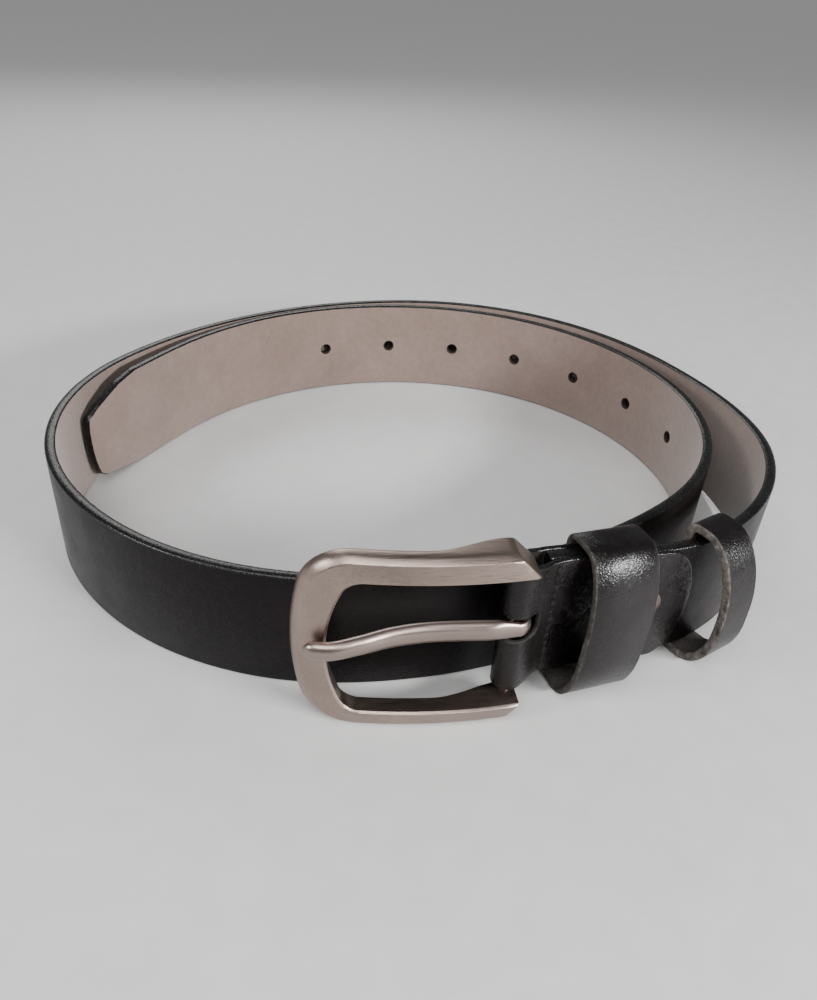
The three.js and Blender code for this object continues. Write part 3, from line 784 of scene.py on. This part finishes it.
def make_chape():
    curve = Curve(chape_line())
    middle = STRAP_WIDTH / 2
    half = CHAPE_THICKNESS / 2

    def flap_end(at, rounding):
        return arc(at - rounding, middle, rounding, middle, -90, 90, 26)

    front = flap_end(curve.length, FRONT_FLAP_ROUNDING)
    back = flap_end(0, -BACK_FLAP_ROUNDING)
    b = flat_plate([*front, *reversed(back)], CHAPE_THICKNESS, ROUND_EDGE)
    cutters = []
    for is_front in (True, False):
        x = nearest_distance(curve, STITCH_ALONG, is_front)
        cutters += [spindle(x, up, 0.5, half, flare=0.42, sides=14) for up in STITCH_HEIGHTS]
        x = nearest_distance(curve, STUD_ALONG, is_front)
        cutters.append(spindle(x, STUD_HEIGHT, STUD_HOLE_RADIUS, half, flare=0.0))
    cutters.append(slot_cutter(curve))
    b = subtract(b, cutters, 3)
    fold_start, fold_end = both_distances(curve, FLAPS_MEET_STRAP)
    slice_along(b, steps(2, fold_start, 2.0))
    slice_along(b, steps(fold_start + 0.5, fold_end - 0.5, 0.5))
    slice_along(b, steps(fold_end, curve.length - 1.5, 2.0))

    def mapping(x, y, t):
        along, out, side_along, side_out = curve.frame(x)
        flare = 1 + FOLD_FLARE * smooth_step((FOLD_FLARE_LENGTH - along) / FOLD_FLARE_LENGTH)
        return place(along + side_along * t, out + side_out * t, middle + (y - middle) * flare)

    bend(b, mapping)
    # Index 1, the chape's inside, gets the lining darkened with painted shade.
    piece = to_object("chape_body", b, [PEBBLE, CHAPE_LINING_PAINTED_SHADE, EDGE, SLOT_EDGE])
    keep_piece(piece, "strap", "chape")


# ------------------------------------------------------------------ keepers


def butt_height(keeper):
    return (keeper["low"] + keeper["high"]) / 2


def hoop_points(keeper):
    """Outline (out, up) of a keeper's outer face, from its butt at the back, over the top."""
    out, back, low, high = keeper["out"], keeper["back"], keeper["low"], keeper["high"]
    butt = butt_height(keeper)
    points = [(-back, butt + BUTT_GAP / 2), (-back, butt + BUTT_STRAIGHT)]
    corners = (
        (-back, high, keeper["back_high"], 180, (1, -1)),
        (out, high, keeper["front_high"], 90, (-1, -1)),
        (out, low, keeper["front_low"], 0, (-1, 1)),
        (-back, low, keeper["back_low"], -90, (1, 1)),
    )
    for x, y, (rx, ry), first, (sx, sy) in corners:
        points += arc(x + sx * rx, y + sy * ry, rx, ry, first, first - 90, 10)
    return points + [(-back, butt - BUTT_STRAIGHT), (-back, butt - BUTT_GAP / 2)]


def keeper_space(keeper):
    """Matrix from a keeper's own mm space (X along the strap, -Y out, Z up) to the model."""
    middle = (keeper["start"] + keeper["end"]) / 2
    spot = place(middle, 0, 0)
    turn = Euler((0, math.radians(keeper["pitch"]), heading_at(middle)), "XYZ").to_matrix().to_4x4()
    return Matrix.Translation((spot.x, spot.y, 0)) @ turn @ Matrix.Diagonal((MM, MM, MM, 1))


def make_keeper(keeper, surface, edge):
    """A leather hoop, bent from a strip whose width and face vary a little, as cut leather does."""
    space = keeper_space(keeper)
    curve = Curve(hoop_points(keeper))
    width, thickness = half_width(keeper), keeper["thickness"]
    outline = [(0, -width), (curve.length, -width), (curve.length, width), (0, width)]
    b = flat_plate(subdivided(outline, 24), thickness, ROUND_EDGE)
    slice_along(b, steps(0.8, curve.length - 0.8, 0.8))
    for vert in b.verts:
        vert.co.z -= thickness / 2
    rng = random.Random(keeper["seed"])
    phases = [rng.uniform(0, 2 * math.pi) for _ in range(4)]

    def mapping(x, y, t):
        out, up, side_out, side_up = curve.frame(x)
        ripple = 0.16 * math.sin(x * 0.21 + phases[0]) + 0.1 * math.sin(x * 0.47 + phases[1])
        swell = 0.1 * math.sin(y * 0.3 + phases[2]) * math.sin(x * 0.11 + phases[3])
        depth = t + min(swell, 0.0)
        along = y * (1 - 0.012 * abs(ripple))
        return space @ Vector((along, -(out + side_out * depth), up + side_up * depth))

    bend(b, mapping)
    piece = to_object(f"{keeper['node']}_body", b, [surface, LINING, edge])
    keep_piece(piece, keeper["body"], keeper["node"])


def make_staple(name, node, keeper, offset):
    """A flat wire staple across the butted ends, its legs bent into the leather."""
    space = keeper_space(keeper)
    butt = butt_height(keeper)
    low, high = butt - STAPLE_REACH, butt + STAPLE_REACH
    leg = -keeper["back"] + keeper["thickness"] * 0.7
    corner = -keeper["back"] - STAPLE_PROUD + STAPLE_BEND
    path = [(leg, low), (corner, low)]
    path += arc(corner, low + STAPLE_BEND, STAPLE_BEND, STAPLE_BEND, 270, 180, 5)
    path += arc(corner, high - STAPLE_BEND, STAPLE_BEND, STAPLE_BEND, 180, 90, 5)
    path += [(corner, high), (leg, high)]
    rings = []
    for i, (out, up) in enumerate(path):
        before, after = path[max(i - 1, 0)], path[min(i + 1, len(path) - 1)]
        dx, dy = after[0] - before[0], after[1] - before[1]
        size = math.hypot(dx, dy)
        ring = []
        for c, s in circle(14):
            a, w = STAPLE_WIRE[0] * c, STAPLE_WIRE[1] * s
            ring.append(space @ Vector((offset + w, -(out - dy / size * a), up + dx / size * a)))
        rings.append(ring)
    piece = to_object(name, bridge(rings), [BRIGHT])
    keep_piece(piece, keeper["body"], node)


# ------------------------------------------------------------------ buckle

ARM_STEPS = 26
BEND_STEPS = 16


def half_outline(half, reach, corner, side, arm_end):
    """Points (x, z) of half a C: along its arm, round the corner and to the middle of its side.

    corner is the corner's radius, and side that of the bowed side.
    """
    spread = math.asin((half - corner) / (side - corner))
    centre = -reach + side - (side - corner) * math.cos(spread)
    points = [(arm_end + (centre - arm_end) * i / ARM_STEPS, half) for i in range(ARM_STEPS)]
    for i in range(BEND_STEPS):
        angle = math.pi / 2 + (math.pi / 2 - spread) * i / BEND_STEPS
        points.append((centre + corner * math.cos(angle), half - corner + corner * math.sin(angle)))
    for i in range(BEND_STEPS + 1):
        angle = spread * (1 - i / BEND_STEPS)
        points.append((-reach + side - side * math.cos(angle), side * math.sin(angle)))
    return points


def whole_outline(half, reach, corner, side, upper_end, lower_end):
    upper = half_outline(half, reach, corner, side, upper_end)
    lower = half_outline(half, reach, corner, side, lower_end)
    return upper + [(x, -z) for x, z in reversed(lower[:-1])]


def frame_sag(x):
    return (x - FRAME_CURVE_MIDDLE) ** 2 / (2 * FRAME_CURVE_RADIUS)


def frame_section(front, rear):
    """Section of the buckle as (share of the way from window to outside, depth).

    It goes from the window over the rounded rim, the sloping face and the rounded outer edge to
    the flat back.
    """
    inner = front - FRAME_SLOPE
    return [
        (0.0, inner + 0.85), (0.012, inner + 0.62), (0.075, inner + 0.12), (0.09, inner + 0.05),
        (0.12, inner + 0.04), (0.3, inner + 0.28 * FRAME_SLOPE), (0.55, inner + 0.62 * FRAME_SLOPE),
        (0.74, front - 0.14), (0.775, front - 0.08), (0.8, front + 0.06), (0.86, front + 0.52),
        (0.92, front + 1.1), (0.965, front + 1.75), (0.99, front + 2.5), (1.0, front + 3.2),
        (1.0, rear - 1.2), (0.985, rear - 0.7), (0.94, rear - 0.25), (0.86, rear), (0.5, rear + 0.05),
        (0.16, rear), (0.08, rear - 0.2), (0.02, rear - 0.55), (0.0, rear - 1.0),
        (0.0, (inner + rear) / 2),
    ]


def frame_ring(near, far):
    """The section between a point (x, z) of the window's outline and one of the outer outline."""
    growth = smooth_step((near[0] + ARM_GROWTH_LENGTH) / ARM_GROWTH_LENGTH)
    rear = FRAME_FRONT + FRAME_DEPTH + growth * (FRAME_DEPTH_AT_BAR - FRAME_DEPTH)
    ring = []
    for share, depth in frame_section(FRAME_FRONT, rear):
        x = near[0] + (far[0] - near[0]) * share
        z = near[1] + (far[1] - near[1]) * share
        ring.append((x, depth + frame_sag(x), FRAME_HEIGHT / 2 + z))
    return ring


def rounded_end(ring, inside, amount):
    """An end ring drawn in towards its middle; the less it is, the further from the end it lies."""
    centre = [sum(p[i] for p in ring) / len(ring) for i in range(3)]
    result = []
    for point, inner in zip(ring, inside):
        pull = Vector(centre) - Vector(point)
        back = (Vector(inner) - Vector(point)).normalized()
        size = pull.length
        drawn_in = Vector(point) + pull / size * min(amount, size)
        result.append(tuple(drawn_in + back * (ARM_END_ROUNDING - amount) * 0.9))
    return result


def notch_cutter():
    """A shallow trough across the front of the bow, in which the prong's tip rests."""
    window_edge = -BOW_REACH + BOW_FACE
    front = FRAME_FRONT - FRAME_SLOPE + frame_sag(window_edge)
    centre = front - NOTCH_RADIUS + NOTCH_DEPTH
    height = prong_height() - NOTCH_BELOW_PRONG
    rings = []
    for x, share in ((7.5, 1.0), (0.5, 1.0), (-2.1, 0.99), (-3.5, 0.94), (-4.5, 0.85)):
        r = NOTCH_RADIUS * share
        points = [world(window_edge + x, centre + r * c, height + r * s) for c, s in circle(48)]
        rings.append([point * PER_METRE for point in points])
    return bridge(rings)


def make_frame():
    """The buckle's casting, whose notch is cut while it is in mm."""
    inner = whole_outline(
        WINDOW_HEIGHT / 2, BOW_REACH - BOW_FACE, WINDOW_CORNER, WINDOW_SIDE_RADIUS,
        ARM_END_INNER, ARM_END_INNER,
    )
    outer = whole_outline(
        FRAME_HEIGHT / 2, BOW_REACH, FRAME_CORNER, FRAME_SIDE_RADIUS,
        UPPER_ARM_END_OUTER, LOWER_ARM_END_OUTER,
    )
    rings = [frame_ring(near, far) for near, far in zip(inner, outer)]
    amounts = (ARM_END_ROUNDING, 0.16)
    upper_end = [rounded_end(rings[0], rings[1], amount) for amount in amounts]
    lower_end = [rounded_end(rings[-1], rings[-2], amount) for amount in reversed(amounts)]
    rings = [*upper_end, *rings[1:-1], *lower_end]
    b = bridge([[world(*point) * PER_METRE for point in ring] for ring in rings])
    b = subtract(b, [notch_cutter()], 0)
    for vert in b.verts:
        vert.co = vert.co / PER_METRE
    piece = to_object("buckle_body", b, [BRUSHED], sharp_angle=24)
    piece.modifiers.new("even_shading", "WEIGHTED_NORMAL").keep_sharp = True
    keep_piece(piece, "buckle", "buckle_frame")


def make_bar():
    half = WINDOW_HEIGHT / 2 + BAR_INTO_ARM
    end = BAR_RADIUS - BAR_CHAMFER
    profile = [(end, -half), (BAR_RADIUS, -half + BAR_CHAMFER), (BAR_RADIUS, half - BAR_CHAMFER), (end, half)]
    b = lathe(profile, 40, lambda x, y, z: world(x, y, FRAME_HEIGHT / 2 + z))
    piece = to_object("heel_bar_body", b, [BRUSHED])
    keep_piece(piece, "buckle", "heel_bar")


def prong_height():
    return STRAP_WIDTH / 2 + lift(0) + PRONG_ABOVE_MIDDLE


def rounding(distance, length):
    """Share of its full size that a rounded end has at a distance from it."""
    return math.sqrt(max(0.0, 1 - max(0.0, 1 - distance / length) ** 2))


def make_prong():
    """The prong, from its eye's open end round the bar and out to its tip on the bow."""
    hook = BAR_RADIUS + EYE_GAP + EYE_THICKNESS / 2
    eye_start, eye_turn, eye_steps = 0.65, 1.15, 24
    points = []
    for i in range(eye_steps + 1):
        angle = math.pi * (eye_start - eye_turn * i / eye_steps)
        points.append((hook * math.cos(angle), hook * math.sin(angle)))
    eye_length = eye_turn * math.pi * hook
    points += [(-6, -3.2), (-14, -2.9), (-24, -2.9), (-33, -4.1), (-41, -6.4), (-48, -7.7), (-54.6, -6.2)]
    curve = Curve(points)
    stations = steps(0, eye_length, 0.5) + steps(eye_length, curve.length - 4, 0.9)[1:]
    stations += [curve.length - d for d in (3.4, 2.8, 2.2, 1.7, 1.2, 0.8, 0.45, 0.2, 0.05, 0.0)]
    rings = []
    for distance in stations:
        x, y, side_x, side_y = curve.frame(distance)
        from_tip = curve.length - distance
        swell = smooth_step((distance - eye_length) / 8)
        thickness = EYE_THICKNESS + (PRONG_THICKNESS - EYE_THICKNESS) * swell
        waist = smooth_step((eye_length + 6 - distance) / 8)
        drop = PRONG_TIP_DROP * smooth_step((14 - from_tip) / 14)
        taper = smooth_step((30 - from_tip) / 25)
        width = PRONG_WIDTH - PRONG_TIP_NARROWER * taper - EYE_NARROWER * waist
        dome = max(rounding(from_tip, PRONG_TIP_ROUNDING), 0.04) * max(rounding(distance, 0.7), 0.3)
        ring = []
        for c, s in circle(40):
            across = dome * thickness / 2 * c
            up = dome * width / 2 * s
            height = prong_height() + up - EYE_LOWER * waist - drop
            ring.append(world(x + side_x * across, y + side_y * across, height))
        rings.append(ring)
    piece = to_object("prong_body", bridge(rings), [SATIN_PRONG], sharp_angle=50)
    keep_piece(piece, "prong", "prong")


# ------------------------------------------------------------------ stud and stitching


def make_stud():
    """The stud's domed cap with its shank, and the flat rivet that closes it at the back."""
    shank, shank_end = 1.5, -CHAPE_SURFACE - 0.3
    dome = [
        (0.02, 2.25), (1.2, 2.18), (2.3, 1.95), (3.2, 1.5), (3.85, 0.95),
        (4.15, 0.5), (4.2, 0.25), (4.05, 0.05), (shank, 0.02),
    ]
    rivet = [
        (1.55, 0.05), (3.1, 0.03), (3.3, 0.15), (3.3, 0.55),
        (3.0, 0.9), (2.2, 1.15), (1.7, 1.2), (1.6, 0.9),
    ]
    front = [(radius, CHAPE_SURFACE + height) for radius, height in dome]
    front += [(shank, shank_end), (0.02, shank_end)]
    back = [(radius, -CHAPE_SURFACE - height) for radius, height in rivet]

    def at(x, y, t):
        return place(STUD_ALONG + x, t, STUD_HEIGHT + y)

    cap_piece = to_object("stud_body", lathe(front, 40, at), [SATIN_PRONG])
    keep_piece(cap_piece, "strap", "stud")
    back_piece = to_object("stud_back_body", lathe(back, 40, at), [BRIGHT])
    keep_piece(back_piece, "strap", "stud_back")


def stitch_path(seed):
    """Points (x, out, up) of a thread that lies in the surface and dives into each needle hole."""
    surface = CHAPE_SURFACE
    first, last = STITCH_HEIGHTS[0], STITCH_HEIGHTS[-1]
    rng = random.Random(seed)
    path = [(0.0, surface + 0.05, first - 1.5), (0.0, surface + 0.26, first - 0.8)]
    for up in STITCH_HEIGHTS:
        sway = rng.uniform(-0.08, 0.08)
        path += [(0.0, surface - 0.2, up - 0.2), (0.0, surface - 1.2, up), (0.0, surface - 0.2, up + 0.2)]
        path.append((0.06 + sway, surface + 0.06, up + 0.75))
        path.append((0.2 + sway, surface + 0.2, up + STITCH_PITCH / 2))
        path.append((0.1 + sway, surface + 0.06, up + STITCH_PITCH - 0.75))
    return path[:-2] + [(0.1, surface + 0.05, last + 1.5)]


def smooth_run(points, count):
    """A smooth curve through points in space, with count points on each stretch of it."""
    fine = []
    for a, p, q, d in zip([points[0], *points], points, points[1:], [*points[2:], points[-1]]):
        for i in range(count):
            t = i / count
            square = (2 * a - 5 * p + 4 * q - d) * t * t
            cube = (3 * p - a - 3 * q + d) * t ** 3
            fine.append(0.5 * ((2 * p) + (q - a) * t + square + cube))
    return [*fine, points[-1]]


def make_thread_row(name, node, side, seed):
    """One of the two threads of the row, twisted. side is 1 on the front and -1 on the back."""
    fine = smooth_run([place(STITCH_ALONG + x, side * out, up) for x, out, up in stitch_path(seed)], 7)
    rings = []
    u = Vector((1, 0, 0))
    for i, point in enumerate(fine):
        direction = (fine[min(i + 1, len(fine) - 1)] - fine[max(i - 1, 0)]).normalized()
        u = (u - direction * u.dot(direction)).normalized()
        v = direction.cross(u)
        ring = []
        for k in range(12):
            angle = 2 * math.pi * k / 12
            radius = THREAD_RADIUS * (1 + 0.13 * math.cos(2 * angle + i * THREAD_TWIST)) * MM
            ring.append(point + (u * math.cos(angle) + v * math.sin(angle)) * radius)
        rings.append(ring)
    piece = to_object(name, bridge(rings), [THREAD], sharp_angle=60)
    keep_piece(piece, "strap", node)


# ------------------------------------------------------------------ the belt

make_strap()
make_chape()
make_frame()
make_bar()
make_prong()
make_keeper(FIXED_KEEPER, FIXED_PEBBLE, DYED_EDGE)
make_keeper(LOOSE_KEEPER, LOOSE_PEBBLE, RAW_EDGE)
make_staple("fixed_staple_left", "fixed_keeper_staple_1", FIXED_KEEPER, -4.5)
make_staple("fixed_staple_right", "fixed_keeper_staple_2", FIXED_KEEPER, 4.5)
make_staple("loose_staple", "loose_keeper_staple", LOOSE_KEEPER, 0.0)
make_stud()
make_thread_row("stitching_front", "front_thread", 1, 11)
make_thread_row("stitching_back", "back_thread", -1, 12)


# ------------------------------------------------------------------ floor, light and camera


def make_floor():
    b = bmesh.new()
    bmesh.ops.create_grid(b, x_segments=1, y_segments=1, size=30.0)
    n = Nodes("floor", Specular_IOR_Level=0.3)
    speck = n.noise(0.01, 3)
    colour = n.colours(speck, (0.3, (0.54, 0.535, 0.53)), (0.7, (0.57, 0.565, 0.56)))
    floor = to_object("floor", b, [n.finish(colour, n.spread(speck, 0.3, 0.7, 0.5, 0.6))])


def add_light(name, location, target, size, power):
    data = bpy.data.lights.new(name, "AREA")
    data.shape = "RECTANGLE"
    data.size, data.size_y = size
    data.energy = power
    lamp = bpy.data.objects.new(name, data)
    lamp.location = location
    lamp.rotation_euler = (Vector(target) - Vector(location)).to_track_quat("-Z", "Y").to_euler()
    bpy.context.scene.collection.objects.link(lamp)


def make_lights():
    scene = bpy.context.scene
    scene.world = bpy.data.worlds.new("studio")
    scene.world.use_nodes = True
    background = scene.world.node_tree.nodes["Background"]
    background.inputs["Color"].default_value = (0.96, 0.97, 1, 1)
    background.inputs["Strength"].default_value = 0.2
    sun = bpy.data.lights.new("soft_overhead", "SUN")
    sun.energy = 1.05
    sun.angle = math.radians(30)
    lamp = bpy.data.objects.new("soft_overhead", sun)
    lamp.rotation_euler = (math.radians(20), math.radians(-12), 0)
    scene.collection.objects.link(lamp)
    add_light("right_front", (0.56, -0.6, 0.34), (0.03, -0.08, 0.03), size=(0.36, 0.08), power=13.0)
    add_light("key", (-0.14, -0.5, 0.5), (-0.04, -0.09, 0.03), size=(0.5, 0.05), power=1.8)
    add_light("left", (-0.75, -0.25, 0.4), (0, -0.02, 0.02), size=(0.2, 0.25), power=3.6)
    add_light("rear", (-0.15, 0.75, 0.6), (0, 0, 0.02), size=(0.6, 0.35), power=3.6)


def make_camera():
    """Camera of the reference view, placed from the buckle bar."""
    place_mm = (-55.6, -152.31, 172.57)
    turn = math.radians(9.5)
    tilt = 0.591689
    roll = 0.0693197
    flat = Vector((math.sin(turn), math.cos(turn), 0))
    side = Vector((math.cos(turn), -math.sin(turn), 0))
    forward = flat * math.cos(tilt) - Vector((0, 0, math.sin(tilt)))
    upward = flat * math.sin(tilt) + Vector((0, 0, math.cos(tilt)))
    right = side * math.cos(roll) + upward * math.sin(roll)
    up = upward * math.cos(roll) - side * math.sin(roll)
    data = bpy.data.cameras.new("camera")
    data.sensor_width = 36
    data.lens = 29.52
    data.clip_start = 0.01
    camera = bpy.data.objects.new("camera", data)
    rotation = Matrix((right, up, -forward)).transposed().to_4x4()
    camera.matrix_world = Matrix.Translation(world(*place_mm)) @ rotation
    bpy.context.scene.collection.objects.link(camera)
    bpy.context.scene.camera = camera


make_floor()
make_lights()
make_camera()
